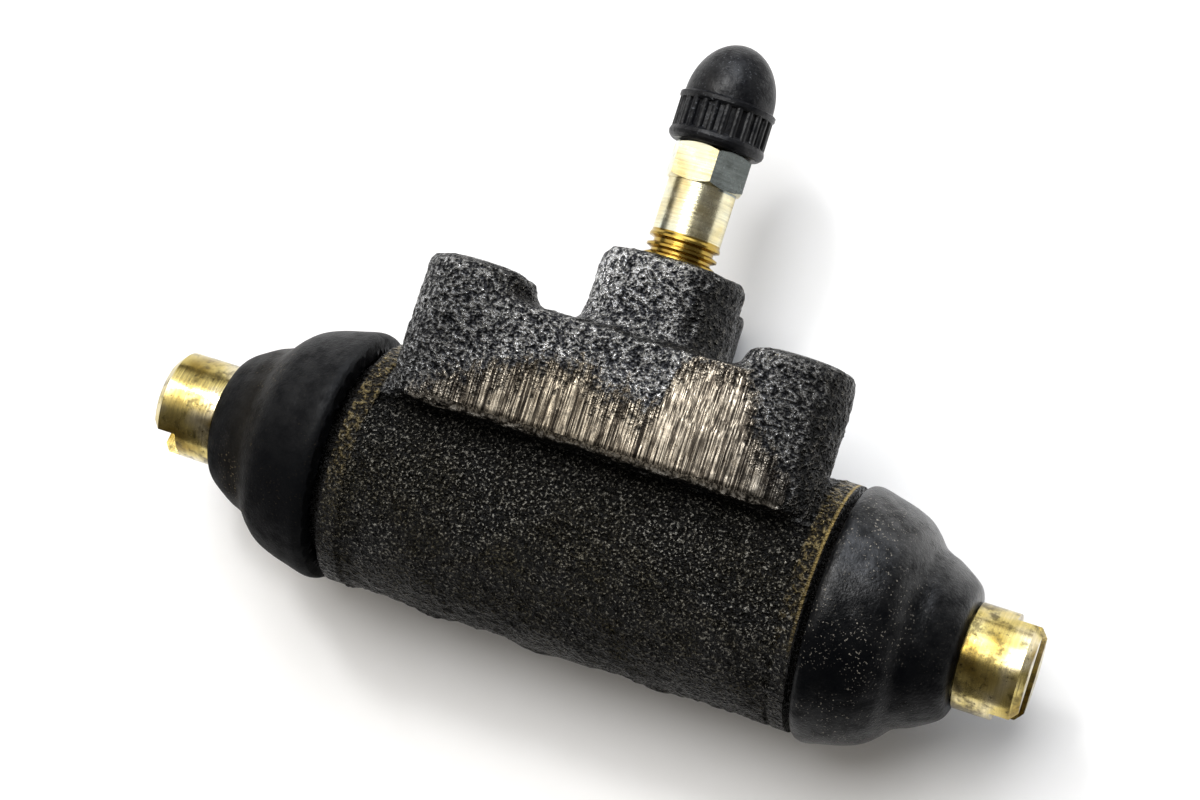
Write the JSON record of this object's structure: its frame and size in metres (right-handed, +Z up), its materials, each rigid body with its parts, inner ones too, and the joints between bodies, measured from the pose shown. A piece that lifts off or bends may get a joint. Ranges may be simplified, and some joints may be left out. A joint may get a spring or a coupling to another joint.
{
  "type": "drum brake wheel cylinder",
  "caption": "Cast iron wheel cylinder with opposed slotted pistons, rubber dust boots, threaded mounting ears, an inlet port and a capped bleed screw.",
  "frame": {"origin": "midway between the two mounting threads, on the plane of the mounting faces", "axes": "+X along the bore towards the right piston, +Y out of the mounting faces through the backing plate, +Z up as fitted, with the bleed screw above the inlet"},
  "size_m": [0.0999, 0.0688, 0.0296],
  "materials": {
    "cast_iron": "sand cast, dark and oily, one flank ground",
    "zinc_steel": "turned steel with yellow zinc plating",
    "zinc_bleeder": "turned steel with pale yellow zinc plating",
    "seal_rubber": "moulded",
    "boot_rubber": "moulded, worn satin",
    "cap_rubber": "moulded matte",
    "pressed_steel": "pressed sheet",
    "spring_steel": "drawn wire"
  },
  "bodies": {
    "body": {"cylinder_body": "cast_iron", "left_boot": "boot_rubber", "right_boot": "boot_rubber", "return_spring": "spring_steel"},
    "left_seal": {"left_cup_seal": "seal_rubber", "left_cup_expander": "pressed_steel"},
    "left_piston": {"left_piston": "zinc_steel"},
    "right_seal": {"right_cup_seal": "seal_rubber", "right_cup_expander": "pressed_steel"},
    "right_piston": {"right_piston": "zinc_steel"},
    "bleed_screw": {"bleed_screw": "zinc_bleeder"},
    "bleed_cap": {"bleed_cap": "cap_rubber"}
  },
  "joints": [
    {"name": "left_piston_slide", "type": "slide", "parent": "body", "child": "left_seal", "axis": [-1, 0, 0], "range_m": [-0.005, 0.0035], "deforming": ["left_boot", "return_spring"]},
    {"name": "left_piston_turn", "type": "hinge", "parent": "left_seal", "child": "left_piston", "pos_m": [0, -0.0242, -0.0082], "axis": [-1, 0, 0], "continuous": true},
    {"name": "right_piston_slide", "type": "slide", "parent": "body", "child": "right_seal", "axis": [1, 0, 0], "range_m": [-0.005, 0.0035], "deforming": ["right_boot", "return_spring"]},
    {"name": "right_piston_turn", "type": "hinge", "parent": "right_seal", "child": "right_piston", "pos_m": [0, -0.0242, -0.0082], "axis": [1, 0, 0], "continuous": true},
    {"name": "bleed_screw_turn", "type": "hinge", "parent": "body", "child": "bleed_screw", "pos_m": [0.0006, 0.006, -0.0051], "axis": [0, 1, 0], "range_deg": [0, 180]},
    {"name": "bleed_cap_pull", "type": "slide", "parent": "bleed_screw", "child": "bleed_cap", "axis": [0, 1, 0], "range_m": [0, 0.012]}
  ]
}
